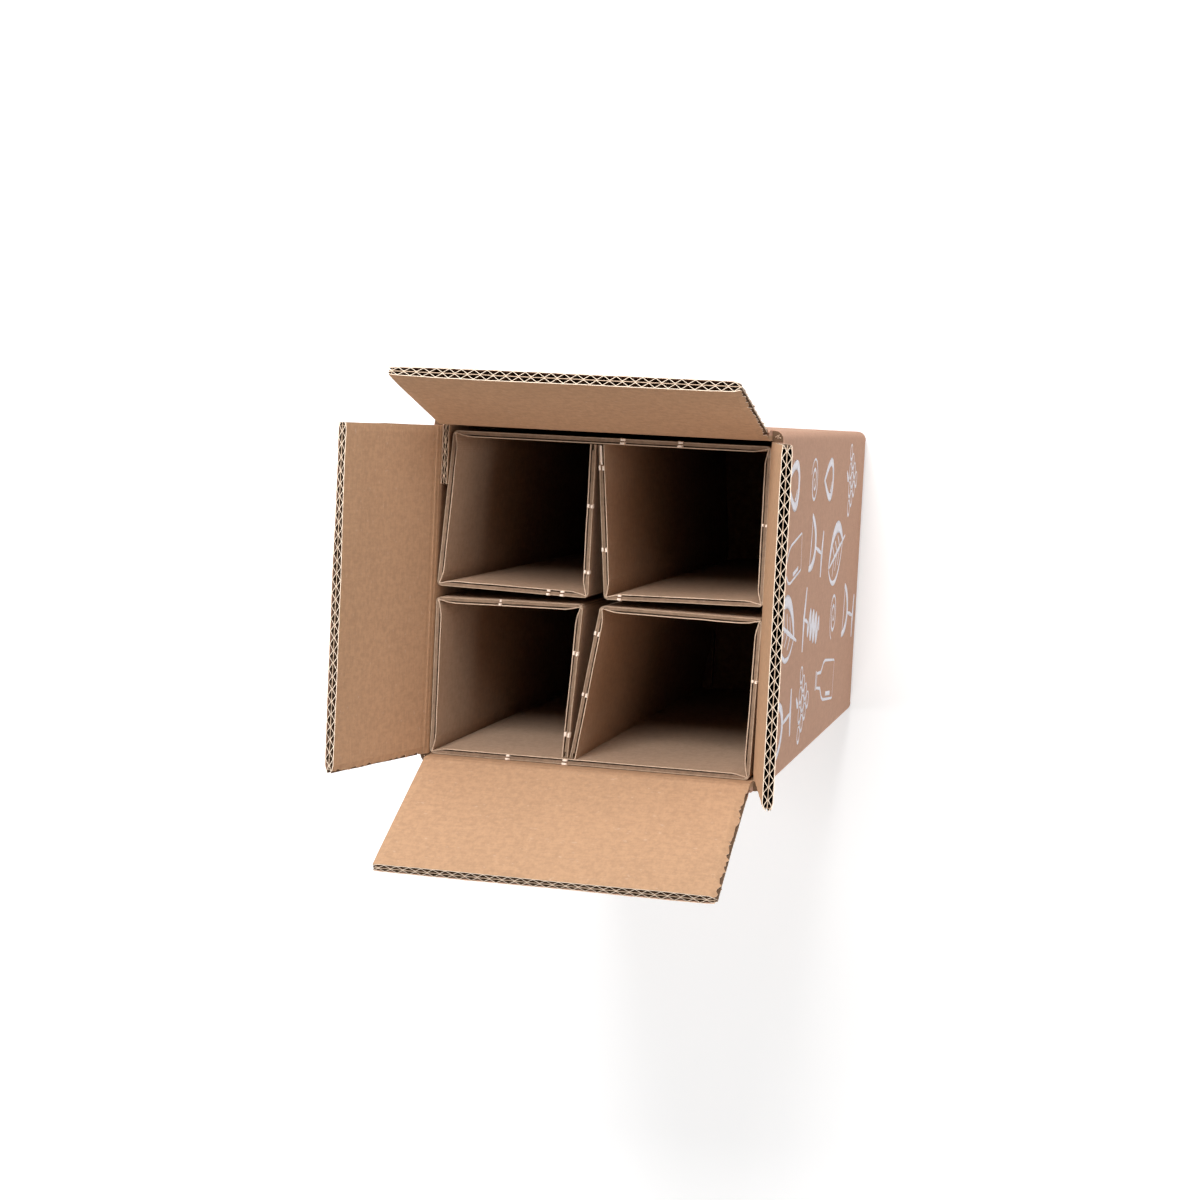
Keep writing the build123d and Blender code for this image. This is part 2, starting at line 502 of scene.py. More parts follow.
def use_group(tree, group, **sockets):
    made = tree.nodes.new("ShaderNodeGroup")
    made.node_tree = group
    for name, value in sockets.items():
        feed(tree, made.inputs[name.replace("_", " ")], value)
    return made.outputs


def paper_fibres():
    """Kraft paper: cloudy formation, long fibres both ways, and dark and pale flecks."""
    tree, given, out = new_group(
        "paper_fibres",
        [("Vector", "Vector"), ("Base", "Color"), ("Dark", "Color"), ("Pale", "Color")],
        [("Color", "Color"), ("Height", "Float")],
    )
    vector = given["Vector"]
    clouds = noise(tree, vector, CLOUD_SCALE, 4.0, 0.62)
    formation = noise(tree, vector, FORMATION_SCALE, 5.0, 0.6)
    upright = streaks(tree, vector, UPRIGHT_FIBRES, 3.0, 0.6)
    level = streaks(tree, vector, LEVEL_FIBRES, 3.0, 0.6)
    fibres = blended(tree, (upright, 0.5), (level, 0.5))
    depth = blended(tree, (clouds, 0.10), (formation, 0.46), (fibres, 0.44))
    dark_grain = streaks(tree, vector, DARK_GRAIN, 2.0)
    pale_grain = streaks(tree, vector, PALE_GRAIN, 2.0)
    dark_flecks = maths(tree, "MULTIPLY", ramp(tree, dark_grain, 0.65, 0.75), DARK_FLECKS)
    pale_flecks = maths(tree, "MULTIPLY", ramp(tree, pale_grain, 0.65, 0.76), PALE_FLECKS)
    colour = mixed(tree, ramp(tree, depth, 0.36, 0.62), given["Dark"], given["Base"])
    colour = mixed(tree, dark_flecks, colour, given["Dark"])
    colour = mixed(tree, pale_flecks, colour, given["Pale"])
    tree.links.new(colour, out["Color"])
    tree.links.new(fibres, out["Height"])
    return tree


def flute_lines():
    """Faint parallel lines where the flutes show through the liner."""
    tree, given, out = new_group(
        "flute_lines",
        [("Vector", "Vector"), ("Direction", "Vector"), ("Pitch", "Float")],
        [("Mask", "Float")],
    )
    along = tree.nodes.new("ShaderNodeVectorMath")
    along.operation = "DOT_PRODUCT"
    tree.links.new(given["Vector"], along.inputs[0])
    tree.links.new(given["Direction"], along.inputs[1])
    turns = maths(tree, "DIVIDE", along.outputs["Value"], given["Pitch"])
    wave = maths(tree, "SINE", maths(tree, "MULTIPLY", turns, 2 * pi))
    patchy = ramp(tree, noise(tree, given["Vector"], LINE_PATCHES, 2.0), 0.35, 0.65)
    share = maths(tree, "ADD", maths(tree, "MULTIPLY", patchy, 0.6), 0.4)
    wave = maths(tree, "MULTIPLY", wave, share)
    tree.links.new(maths(tree, "ADD", maths(tree, "MULTIPLY", wave, 0.5), 0.5), out["Mask"])
    return tree


FIBRES = paper_fibres()
LINES = flute_lines()


def new_material(name, roughness):
    """A matt material with its node tree, its shader and the Object coordinates."""
    material = bpy.data.materials.new(name)
    material.use_nodes = True
    tree = material.node_tree
    shader = tree.nodes["Principled BSDF"]
    shader.inputs["Specular IOR Level"].default_value = PAPER_SHINE
    shader.inputs["Roughness"].default_value = roughness
    vector = node(tree, "TexCoord").outputs["Object"]
    return material, tree, shader, vector


def relief(tree, shader, height, distance, strength):
    bump = node(tree, "Bump", Height=height, Strength=strength, Distance=distance)
    tree.links.new(bump.outputs[0], shader.inputs["Normal"])


def inside_carton(tree, vector):
    """A mask of the carton's inner faces, by their place."""
    spot = node(tree, "SeparateXYZ", Vector=vector).outputs
    across = maths(tree, "ABSOLUTE", spot["X"])
    along = maths(tree, "ABSOLUTE", spot["Y"])
    within = maths(tree, "LESS_THAN", maths(tree, "MAXIMUM", across, along), WALL_MIDDLE)
    above = maths(tree, "GREATER_THAN", spot["Z"], 1.5 * BOARD)
    return maths(tree, "MULTIPLY", within, above)


def board_liner(name, tone, lining=None):
    """Liner of the carton, with the upright flutes showing through on every side.

    Where a lining is given, the faces inside the carton take its tones.
    """
    material, tree, shader, vector = new_material(name, BOARD_ROUGHNESS)
    if lining:
        inside = inside_carton(tree, vector)
        tone = [mixed(tree, inside, outer, inner) for outer, inner in zip(tone, lining)]
    base, dark, pale = tone
    paper = use_group(tree, FIBRES, Vector=vector, Base=base, Dark=dark, Pale=pale)
    facing = node(tree, "SeparateXYZ", Vector=node(tree, "NewGeometry").outputs["Normal"])
    sideways = maths(tree, "ABSOLUTE", facing.outputs["X"])
    faces_side = maths(tree, "GREATER_THAN", sideways, SIDE_FACING)
    over_x = use_group(tree, LINES, Vector=vector, Direction=(1, 0, 0), Pitch=FLUTE_PITCH)
    over_y = use_group(tree, LINES, Vector=vector, Direction=(0, 1, 0), Pitch=FLUTE_PITCH)
    lines = node(tree, "Mix", {"data_type": "FLOAT"})
    tree.links.new(faces_side, lines.inputs[0])
    tree.links.new(over_x["Mask"], lines.inputs[2])
    tree.links.new(over_y["Mask"], lines.inputs[3])
    shown = maths(tree, "MULTIPLY", lines.outputs[0], BOARD_LINES)
    tree.links.new(mixed(tree, shown, paper["Color"], dark), shader.inputs["Base Color"])
    height = blended(tree, (lines.outputs[0], 0.7), (paper["Height"], 0.4))
    relief(tree, shader, height, BOARD_RELIEF, 0.5)
    return material


def sheet_liner(name, base, dark, pale):
    """Liner of the inserts, whose flutes run level."""
    material, tree, shader, vector = new_material(name, SHEET_ROUGHNESS)
    paper = use_group(tree, FIBRES, Vector=vector, Base=base, Dark=dark, Pale=pale)
    lines = use_group(tree, LINES, Vector=vector, Direction=(0, 0, 1), Pitch=FLUTE_PITCH)
    shown = maths(tree, "MULTIPLY", lines["Mask"], SHEET_LINES)
    tree.links.new(mixed(tree, shown, paper["Color"], dark), shader.inputs["Base Color"])
    height = blended(tree, (lines["Mask"], 0.8), (paper["Height"], 0.5))
    relief(tree, shader, height, SHEET_RELIEF, 0.6)
    return material


def raw_paper(name, base, dark, pale):
    """Bare fibres: the fluted layers, and every cut or torn edge."""
    material, tree, shader, vector = new_material(name, RAW_ROUGHNESS)
    paper = use_group(tree, FIBRES, Vector=vector, Base=base, Dark=dark, Pale=pale)
    tree.links.new(paper["Color"], shader.inputs["Base Color"])
    relief(tree, shader, paper["Height"], RAW_RELIEF, 0.7)
    return material


def white_ink(name, kraft, white):
    """Flexographic white, thin enough for the liner to show through."""
    material, tree, shader, vector = new_material(name, INK_ROUGHNESS)
    cover = ramp(tree, noise(tree, vector, INK_GRAIN, 4.0, 0.65), 0.22, 0.44)
    worn = ramp(tree, noise(tree, vector, INK_WEAR, 3.0), 0.16, 0.36)
    share = maths(tree, "MULTIPLY", cover, worn)
    tree.links.new(mixed(tree, share, kraft, white), shader.inputs["Base Color"])
    relief(tree, shader, share, INK_RELIEF, 0.5)
    return material


def tones(red, green, blue, dark, pale):
    """A paper's colour, with a darker and a paler tone of it."""
    base = (red, green, blue)
    deeper = tuple(value * dark for value in base)
    lighter = tuple(1 - (1 - value) * pale for value in base)
    return (*base, 1), (*deeper, 1), (*lighter, 1)


OUTSIDE_TONES = tones(0.630, 0.368, 0.254, dark=0.88, pale=0.88)
INSIDE_TONES = tones(0.550, 0.337, 0.202, dark=0.80, pale=0.82)
OUTSIDE = board_liner("kraft_outside", OUTSIDE_TONES)
INSIDE = board_liner("kraft_inside", INSIDE_TONES)
WALLS = board_liner("kraft_walls", OUTSIDE_TONES, INSIDE_TONES)
SHEET_FACE = sheet_liner("insert_face", *tones(0.510, 0.355, 0.250, dark=0.82, pale=0.84))
# The fluted layers are a darker brown than the liners, and darkened further as painted shade of the
# hollows between the liners
SHADED_FLUTE = raw_paper("shaded_flute_paper", *tones(0.150, 0.088, 0.052, dark=0.72, pale=0.88))
SHEET_FLUTE = raw_paper("insert_flute_paper", *tones(0.230, 0.150, 0.096, dark=0.74, pale=0.86))
CUT = raw_paper("cut_edge", *tones(0.96, 0.780, 0.610, dark=0.84, pale=0.60))
MIDDLE_CUT = raw_paper("middle_cut_edge", *tones(0.70, 0.500, 0.350, dark=0.76, pale=0.76))
SHEET_CUT = raw_paper("insert_cut_edge", *tones(0.66, 0.490, 0.360, dark=0.74, pale=0.76))
DULL_CUT = raw_paper("insert_dull_edge", *tones(0.47, 0.340, 0.240, dark=0.72, pale=0.82))
CRUSHED = raw_paper("insert_crushed_edge", *tones(0.29, 0.194, 0.132, dark=0.70, pale=0.86))
TORN = raw_paper("torn_fibres", *tones(1.0, 0.860, 0.740, dark=0.95, pale=0.50))
INK = white_ink("print_white", kraft=(0.66, 0.52, 0.44, 1), white=(0.97, 0.94, 0.99, 1))


# Mouth flaps

def joint_named(name):
    return next(joint for joint in frame["joints"] if joint["name"] == name)


def flap_facts(side):
    """Crease, lean and size of one mouth flap, from the frame."""
    joint = joint_named(side + "_crease")
    low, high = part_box("flap_" + side)
    distance = hypot(joint["pos_m"][0], joint["pos_m"][1])
    return {
        "body": joint["child"],
        "lean": radians(-joint["range_deg"][0] - CLOSED_SWING),
        "half_width": max(high.x - low.x, high.y - low.y) / 2,
        "length": distance - MEETING_GAP / 2,
        "wall": Matrix.Rotation(radians(FLAPS[side]["compass"]), 4, "Z")
        @ Matrix.Translation((0, distance, joint["pos_m"][2])),
    }


def flute_wave(across):
    """Height of a flute, from -1 to 1: nearly straight webs between rounded crests."""
    return asin(FLUTE_SHARPNESS * cos(2 * pi * across / FLUTE_PITCH)) / asin(FLUTE_SHARPNESS)


def flute_layer(half_width, low, high, thickness, face, phase):
    """One fluted layer: a single flute shaped by its columns, repeated and trimmed to the board."""
    layer = upright_sheet("flutes", FLUTE_PITCH, low, high, FLUTE_COLUMNS, FLUTE_ROWS)
    height = (thickness - 3 * LINER) / 2
    swing = face * (height - MEDIUM) / 2
    middle = face * (LINER + height) / 2
    edit(layer)
    for column in range(FLUTE_COLUMNS + 1):
        across = (column / FLUTE_COLUMNS - 0.5) * FLUTE_PITCH
        offset = middle + swing * flute_wave(across)
        shift(layer, lambda co: near(co.x, across), (0, offset, 0))
    done()
    count = int(2 * half_width / FLUTE_PITCH) + 3
    repeat(layer, count, (FLUTE_PITCH, 0, 0))
    edit(layer)
    shift(layer, lambda co: True, (-(count / 2 - phase) * FLUTE_PITCH, 0, 0))
    for end in (-1, 1):
        trim((end * half_width, 0, 0), (end, 0, 0))
    done()
    return layer


def ripple(layer, grain):
    """Makes the flutes of a layer uneven, as the corrugator leaves them."""
    clouds = bpy.data.textures.new("flute_drift", "CLOUDS")
    clouds.noise_scale = grain * MM
    for direction, strength in (("X", FLUTE_DRIFT), ("Y", FLUTE_BUCKLE)):
        modify(
            layer, "DISPLACE", texture=clouds, texture_coords="LOCAL", direction=direction,
            strength=strength, mid_level=0.5,
        )


def liner_sheet(half_width, low, high, level, frayed, seed):
    """One liner, with a wavering cut edge at its top and, at one end, a frayed slot edge."""
    rows = round((high - low) / LINER_ROW)
    piece = upright_sheet("liner", 2 * half_width, low, high, LINER_COLUMNS, rows)
    edit(piece)
    shift(piece, lambda co: True, (0, level, 0))
    shake(piece, lambda co: near(co.z, high), EDGE_WAVER, seed)
    if frayed:
        def in_slot(co):
            return near(co.x, frayed * half_width, SLOT_FRAY) and co.z > low + LINER_ROW

        shift(piece, in_slot, (-frayed * SLOT_FRAY / 2, 0, 0))
        shake(piece, in_slot, SLOT_FRAY, seed + 1)
        bpy.ops.transform.resize(value=(1, FRAY_CURL, 1), center_override=(0, level, 0))
    done()
    return piece


def double_wall(half_width, lows, high, thickness, made, cut):
    """Double-wall board upright on the X axis: its liners from inside to outside, and its flutes."""
    level = (thickness - LINER) / 2
    layers = zip(lows, (-level, 0.0, level), (INSIDE, SHADED_FLUTE, OUTSIDE), (cut, MIDDLE_CUT, cut))
    liners = []
    for index, (low, place, face, edge) in enumerate(layers):
        piece = liner_sheet(half_width, low, high, place, made["frayed"], made["seed"] + 10 * index)
        finish_with(piece, face, edge)
        liners.append(piece)
    flutes = []
    for face in (-1, 1):
        layer = flute_layer(half_width, max(lows), high, thickness, face, made["phase"])
        ripple(layer, made["ripple"])
        finish_with(layer, SHADED_FLUTE, cut)
        flutes.append(layer)
    return liners, flutes


def crushed_ends(half_width, low, high):
    """The last flutes at the two slot edges, crushed shut between the liners by the cutting rule."""
    ends = []
    for end in (-1, 1):
        piece = upright_sheet(
            "crushed", BOARD - 2 * LINER, low, high - CRUSH_DEPTH, CRUSH_COLUMNS, FLUTE_ROWS
        )
        place = Matrix.Translation((end * (half_width - CRUSH_INSET), 0, 0))
        settle(piece, place @ Matrix.Rotation(pi / 2, 4, "Z"))
        finish_with(piece, SHADED_FLUTE, MIDDLE_CUT)
        ends.append(piece)
    return ends


def score_liner(piece, low, scores):
    """Presses shallow lines into a liner, at heights above its crease in millimetres."""
    edit(piece)
    for score in scores:
        height = low + round((score * MM - low) / LINER_ROW) * LINER_ROW
        shift(piece, lambda co: near(co.z, height, LINER_ROW / 2), (0, FLAP_SCORE, 0))
    done()


def press_by_hand(pieces, half_width, length, made):
    """Presses a flap as handling has left it: its free edge by its list, and its slot ends."""
    edge = made["edge"]
    frayed_column = 0 if made["frayed"] < 0 else CAGE_COLUMNS - 1
    cage = added(bpy.ops.object.add, type="LATTICE", location=(0, 0, length / 2))
    cage.scale = (2 * half_width, BOARD, length)
    cage.data.points_u, cage.data.points_v, cage.data.points_w = CAGE_COLUMNS, 2, CAGE_ROWS
    cage.data.interpolation_type_u = "KEY_LINEAR"
    cage.data.interpolation_type_v = "KEY_LINEAR"
    cage.data.interpolation_type_w = "KEY_LINEAR"
    for index, point in enumerate(cage.data.points):
        column = index % CAGE_COLUMNS
        row = index // (2 * CAGE_COLUMNS)
        share = 1.0
        if row == CAGE_ROWS - 1:
            along = column / (CAGE_COLUMNS - 1) * (len(edge) - 1)
            before = min(int(along), len(edge) - 2)
            share = edge[before] + (edge[before + 1] - edge[before]) * (along - before)
        if column in (0, CAGE_COLUMNS - 1):
            share *= FRAYED_PINCH if column == frayed_column else SLOT_PINCH
        point.co_deform.y *= share
    bpy.context.view_layer.update()
    for piece in pieces:
        modify(piece, "LATTICE", object=cage)
    bpy.data.objects.remove(cage)


def plain_rim(piece, low):
    """Gives the lower rim of a thickened liner the face of its paper, because it isn't a cut edge."""
    edit(piece)
    pick_points(piece, lambda co: near(co.z, low, LOOSE_SLACK))
    piece.active_material_index = 0
    bpy.ops.object.material_slot_assign()
    done()


def board_pieces(name, liners, flutes, lows, place, body):
    """Thickens the papers of a board, and makes one piece of its liners and one of its flutes."""
    for piece, low in zip(liners, lows):
        thicken(piece, LINER)
        plain_rim(piece, low)
    for piece in flutes:
        thicken(piece, MEDIUM)
    pieces = [join(name + "_liners", liners), join(name + "_flutes", flutes)]
    for piece in pieces:
        settle(piece, place)
        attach(piece, body)
    return pieces


def mouth_flap(side):
    """One mouth flap of double-wall board, leaned out on its crease."""
    facts = flap_facts(side)
    made = FLAPS[side]
    half_width, length = facts["half_width"], facts["length"]
    lows = (INNER_BEVEL, OUTER_BEVEL, OUTER_BEVEL)
    liners, flutes = double_wall(half_width, lows, length, BOARD, made, CUT)
    flutes += crushed_ends(half_width, OUTER_BEVEL, length)
    score_liner(liners[0], INNER_BEVEL, made["scores"])
    press_by_hand(liners + flutes, half_width, length, made)
    place = facts["wall"] @ Matrix.Rotation(-facts["lean"], 4, "X")
    pieces = board_pieces(side + "_flap", liners, flutes, lows, place, facts["body"])
    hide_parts("flap_" + side)


def smooth(share):
    return share * share * (3 - 2 * share)


def crease_liner(side, face):
    """The liner that runs over a crease, scored along its middle."""
    facts = flap_facts(side)
    reach = OUTER_BEVEL if face > 0 else INNER_BEVEL
    score = OUTER_SCORE if face > 0 else INNER_SCORE
    name = side + ("_crease_outside" if face > 0 else "_crease_inside")

    def profile(share, pinch=1.0):
        """Place across the crease, from the wall at -1 to the flap at 1, pinched on the flap."""
        bend = smooth((share + 1) / 2)
        level = face * (LINER_LEVEL - score * exp(-((share / SCORE_WIDTH) ** 2)))
        level *= 1 - (1 - pinch) * bend
        turn = facts["lean"] * bend
        along = share * reach
        outward = level * cos(turn) + along * sin(turn)
        upward = along * cos(turn) - level * sin(turn)
        return Vector((0, outward, upward))

    half_width, frayed = facts["half_width"], FLAPS[side]["frayed"]
    piece = upright_sheet(name, 2 * half_width, -reach, reach, CREASE_COLUMNS, CREASE_ROWS)
    edit(piece)
    for row in range(CREASE_ROWS + 1):
        share = 2 * row / CREASE_ROWS - 1
        flat = Vector((0, 0, share * reach))
        for end, pinch in ((frayed, FRAYED_PINCH), (-frayed, SLOT_PINCH)):
            shift(
                piece, lambda co: near(co.z, flat.z) and near(co.x, end * half_width),
                profile(share, pinch) - flat,
            )
        shift(piece, lambda co: near(co.z, flat.z) and near(co.y, 0), profile(share) - flat)
    done()
    finish_with(piece, OUTSIDE if face > 0 else INSIDE)
    thicken(piece, LINER)
    settle(piece, facts["wall"])
    facts["wall"] @ profile(-1)
    facts["wall"] @ profile(1)
    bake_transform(piece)


for side_name in FLAPS:
    mouth_flap(side_name)
    crease_liner(side_name, 1)
    crease_liner(side_name, -1)


# Folded inserts

def in_metres(corners):
    return [Vector(corner) * MM for corner in corners]


def inward(way):
    """The way from a panel into its cell, where the panel runs this way."""
    return Vector((-way.y, way.x))


def offset_path(corners, full, pinched):
    """A path inside the outer face: full depth along each panel, pinched in at each fold."""
    points = in_metres(corners)
    ways = [(end - start).normalized() for start, end in zip(points, points[1:])]
    sides = [inward(way) for way in ways]
    path = [points[0] + sides[0] * full]
    for index, corner in enumerate(points[1:-1]):
        before, after = sides[index], sides[index + 1]
        path.append(corner - ways[index] * PINCH_REACH + before * full)
        path.append(corner + (before + after) * (pinched / (1 + before.dot(after))))
        path.append(corner + ways[index + 1] * PINCH_REACH + after * full)
    return path + [points[-1] + sides[-1] * full]


def folded_wall(name, path, low, steps, step):
    """A wall raised on a path, point by point and then upwards in equal steps."""
    piece = added(bpy.ops.mesh.primitive_plane_add, size=MM, location=(path[0].x, path[0].y, low))
    piece.name = name
    bpy.ops.object.transform_apply(location=True, rotation=True, scale=True)
    edit(piece)
    bpy.ops.mesh.select_all(action="SELECT")
    bpy.ops.mesh.merge(type="CENTER")
    for start, end in zip(path, path[1:]):
        way = end - start
        bpy.ops.mesh.extrude_region_move(TRANSFORM_OT_translate={"value": (way.x, way.y, 0)})
    bpy.ops.mesh.select_all(action="SELECT")
    for _ in range(steps):
        bpy.ops.mesh.extrude_region_move(TRANSFORM_OT_translate={"value": (0, 0, step)})
    done()
    return piece


def round_folds(piece, folds, radius):
    """Rounds the upright edges of a wall that stand at the folds."""
    round_upright(
        piece,
        lambda spot: any(hypot(spot.x - fold.x, spot.y - fold.y) < LOOSE_SLACK for fold in folds),
        radius,
    )


def insert_liner(path, folds, radius, low, high, edge, seed):
    """One liner of an insert, with its folds rounded and its mouth edge a little uneven."""
    piece = folded_wall("liner", path, low, 1, high - low)
    round_folds(piece, folds, radius)
    edit(piece)
    subdivide(LINER_CUTS)
    shake(piece, lambda co: near(co.z, high), MOUTH_WAVER, seed)
    done()
    finish_with(piece, SHEET_FACE, edge)
    return piece


def insert_medium(corners, low, high):
    """The fluted layer of an insert: one wave of it, repeated up to the mouth."""
    path = offset_path(corners, SHEET / 2, SHEET_LINER + PINCH / 2)
    pinches = path[2:-1:3]
    step = FLUTE_PITCH / WAVE_STEPS
    piece = folded_wall("medium", path, low, WAVE_STEPS, step)
    swing = (SHEET - 2 * SHEET_LINER - SHEET_MEDIUM) / 2
    edit(piece)
    for row, way in ((CREST_ROW, 1), (TROUGH_ROW, -1)):
        pick_points(
            piece,
            lambda co: near(co.z, low + row * step)
            and all(hypot(co.x - pinch.x, co.y - pinch.y) > MM for pinch in pinches),
        )
        bpy.ops.transform.shrink_fatten(value=way * swing)
    done()
    repeat(piece, int((high - low) / FLUTE_PITCH) + 1, (0, 0, FLUTE_PITCH))
    edit(piece)
    trim((0, 0, high - MEDIUM_RECESS), (0, 0, 1))
    done()
    finish_with(piece, SHEET_FLUTE, SHEET_CUT)
    thicken(piece, SHEET_MEDIUM)
    return piece


def crushed_mouth(corners, high):
    """The flutes at the mouth edge of an insert, crushed against its outer liner, panel by panel."""
    points = in_metres(corners)
    bands = []
    for panel, (start, end) in enumerate(zip(points, points[1:])):
        way = (end - start).normalized()
        depth = inward(way) * (SHEET_LINER + BAND_WIDTH / 2)
        path = [start + way * BAND_STOP + depth, end - way * BAND_STOP + depth]
        band = folded_wall("band", path, high - BAND_RECESS - BAND_HEIGHT, 1, BAND_HEIGHT)
        edit(band)
        subdivide(BAND_CUTS)
        done()
        finish_with(band, CRUSHED)
        thicken(band, BAND_WIDTH)
        edit(band)
        shake(band, lambda co: near(co.z, high - BAND_RECESS), BAND_WAVER, BAND_SEED + panel)
        done()
        bands.append(band)
    return bands


def torn_flake(length, width, height, lean, seed):
    """A flake of torn paper on the XY plane: it tapers upwards, leans and has a ragged skin."""
    flake = added(bpy.ops.mesh.primitive_cube_add, size=1.0)
    edit(flake)
    bpy.ops.mesh.select_all(action="SELECT")
    bpy.ops.transform.resize(value=(length, 2 * width, 2 * height))
    pick_points(flake, lambda co: co.z > 0)
    bpy.ops.transform.resize(value=FLAKE_TAPER, center_override=(0, 0, height))
    bpy.ops.transform.translate(value=(lean, width / 2, 0))
    subdivide(FLAKE_CUTS)
    bpy.ops.transform.vertex_random(offset=FLAKE_RAGGED, seed=seed, wait_for_input=False)
    done()
    finish_with(flake, TORN)
    return flake


def torn_nick(corners, panel, share, high, length, depth, lean):
    """A torn nick on the mouth edge of one panel of an insert, at a depth inside its outer face."""
    start, end = in_metres(corners[panel:panel + 2])
    way = (end - start).normalized()
    across = inward(way)
    place = start.lerp(end, share) + across * depth
    seed = int(100 * share) + panel + int(depth / MM)
    flake = torn_flake(length * MM, NICK_WIDTH, NICK_HEIGHT, lean, seed)
    rows = (
        (way.x, across.x, 0, place.x), (way.y, across.y, 0, place.y), (0, 0, 1, high), (0, 0, 0, 1),
    )
    settle(flake, Matrix(rows))
    return flake


def folded_insert(side):
    """One insert: two liners, the fluted layer between them, and its torn nicks."""
    corners = INSERTS[side]
    low_corner, high_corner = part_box("insert_" + side)
    low, high = low_corner.z, high_corner.z
    outer_path = in_metres(corners)
    inner_path = offset_path(corners, SHEET, 2 * SHEET_LINER + PINCH)
    hard_folds = outer_path[1:-1]
    outer = insert_liner(outer_path, hard_folds, FOLD_RADIUS, low, high, DULL_CUT, OUTER_SEED)
    thicken(outer, SHEET_LINER, -1.0)
    soft_folds = inner_path[1:-1:3] + inner_path[3:-1:3]
    inner = insert_liner(inner_path, soft_folds, SOFT_RADIUS, low, high, SHEET_CUT, INNER_SEED)
    thicken(inner, SHEET_LINER, 1.0)
    liners = join(side + "_insert_liners", [outer, inner])
    medium = insert_medium(corners, low, high)
    flutes = join(side + "_insert_flutes", [medium, *crushed_mouth(corners, high)])
    flakes = [
        torn_nick(corners, panel, share, high, length, depth, lean)
        for panel, share, length in NICKS[side] for depth, lean in zip(NICK_DEPTHS, NICK_LEANS)
    ]
    flakes += [
        torn_nick(corners, panel, share, high, length, SLIVER_DEPTH, SLIVER_LEAN)
        for panel, share, length in SLIVERS[side]
    ]
    nicks = join(side + "_insert_nicks", flakes)
    for piece in (liners, flutes, nicks):
        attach(piece, "carton")
    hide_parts("insert_" + side)


for side_name in INSERTS:
    folded_insert(side_name)


# Carton body

def glue_lap_end():
    """The cut end of the glue lap, which is pressed thinner than the board that it is cut from."""
    low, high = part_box("carton_body")
    lows = (LAP_LOW, LAP_LOW, LAP_LOW)
    # All cut edges of the lap take the darker middle-liner edge colour and its flutes the shaded flute
    # colour: painted shade of the lap lying low below the crease
    liners, flutes = double_wall(
        LAP_WIDTH / 2, lows, LAP_HIGH, LAP_THICKNESS, LAP_PAPER, MIDDLE_CUT
    )
    corner = (low.x + BOARD + LAP_THICKNESS / 2, high.y - BOARD - LAP_WIDTH / 2, 0)
    place = Matrix.Translation(corner) @ Matrix.Rotation(pi / 2, 4, "Z")
    board_pieces("glue_lap", liners, flutes, lows, place, "carton")


def slot_cut(x, y):
    """The crushed cut end of one corner fold, round on its outer corner like the fold."""
    piece = added(bpy.ops.mesh.primitive_cube_add, size=1.0)
    settle(
        piece,
        Matrix.Translation((x, y, SLOT_LEVEL))
        @ Matrix.Diagonal((SLOT_CUT_SIDE, SLOT_CUT_SIDE, 2 * SLOT_CUT_HEIGHT, 1)),
    )
    round_upright(
        piece, lambda spot: abs(spot.x) > abs(x) and abs(spot.y) > abs(y), SLOT_CUT_RADIUS
    )
    # The cut end takes the flute colour, dark with painted shade
    finish_with(piece, SHADED_FLUTE)
    return piece


def slot_tuft(x, y, seed):
    """Torn fibres that stand in one slot."""
    flakes = []
    for index in range(TUFT_FLAKES):
        turn = (index + seed) * GOLDEN_TURN
        reach = TUFT_REACH * index / TUFT_FLAKES
        flake = torn_flake(TUFT_LENGTH, TUFT_WIDTH, TUFT_HEIGHT, 0.0, seed + index)
        finish_with(flake, MIDDLE_CUT)
        spot = Matrix.Translation((x + reach * cos(turn), y + reach * sin(turn), SLOT_LEVEL))
        settle(flake, spot @ Matrix.Rotation(turn, 4, "Z") @ Matrix.Rotation(TUFT_TILT, 4, "X"))
        flakes.append(flake)
    return flakes


def slot_ends():
    """The cut ends of the four slots, each with its torn fibres."""
    low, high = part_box("carton_body")
    cuts, flakes = [], []
    for index, x in enumerate((low.x + SLOT_INSET, high.x - SLOT_INSET)):
        for seed, y in zip(TUFT_SEEDS, (low.y + SLOT_INSET, high.y - SLOT_INSET)):
            cuts.append(slot_cut(x, y))
            flakes += slot_tuft(x, y, seed + index)
    for piece in (join("slot_cuts", cuts), join("slot_fibres", flakes)):
        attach(piece, "carton")


for material_slot in frame["nodes"]["carton_body"].material_slots:
    material_slot.material = WALLS
glue_lap_end()
slot_ends()


# Print on the right wall, drawn as strokes: points, width and whether the stroke is closed

def arc(x, y, half_width, half_height, start, end):
    """Points on part of an ellipse, with its angles in degrees."""
    points = []
    for step in range(STROKE_STEPS + 1):
        angle = radians(start + (end - start) * step / STROKE_STEPS)
        points.append((x + half_width * cos(angle), y + half_height * sin(angle)))
    return points


def glass():
    return [
        (arc(0, 1.75, 0.46, 0.85, 195, 345), BROAD_STROKE, False),
        ([(-0.40, 1.45), (0, 1.42), (0.40, 1.45)], FINE_STROKE, False),
        ([(0, 0.9), (0, 0.45), (0, 0.05)], FINE_STROKE, False),
        ([(-0.40, 0), (0, 0.04), (0.40, 0)], BROAD_STROKE, False),
    ]


def bottle():
    half = [(0.40, 0), (0.42, 0.1), (0.42, 1.6), (0.36, 1.85), (0.17, 2.15), (0.15, 2.75)]
    other = [(-x, y) for x, y in reversed(half)]
    return [
        (half + other, FINE_STROKE, True),
        ([(-0.30, 0.45), (-0.30, 1.2)], BROAD_STROKE, False),
        ([(-0.2, 2.9), (0.2, 2.9)], BROAD_STROKE, False),
    ]


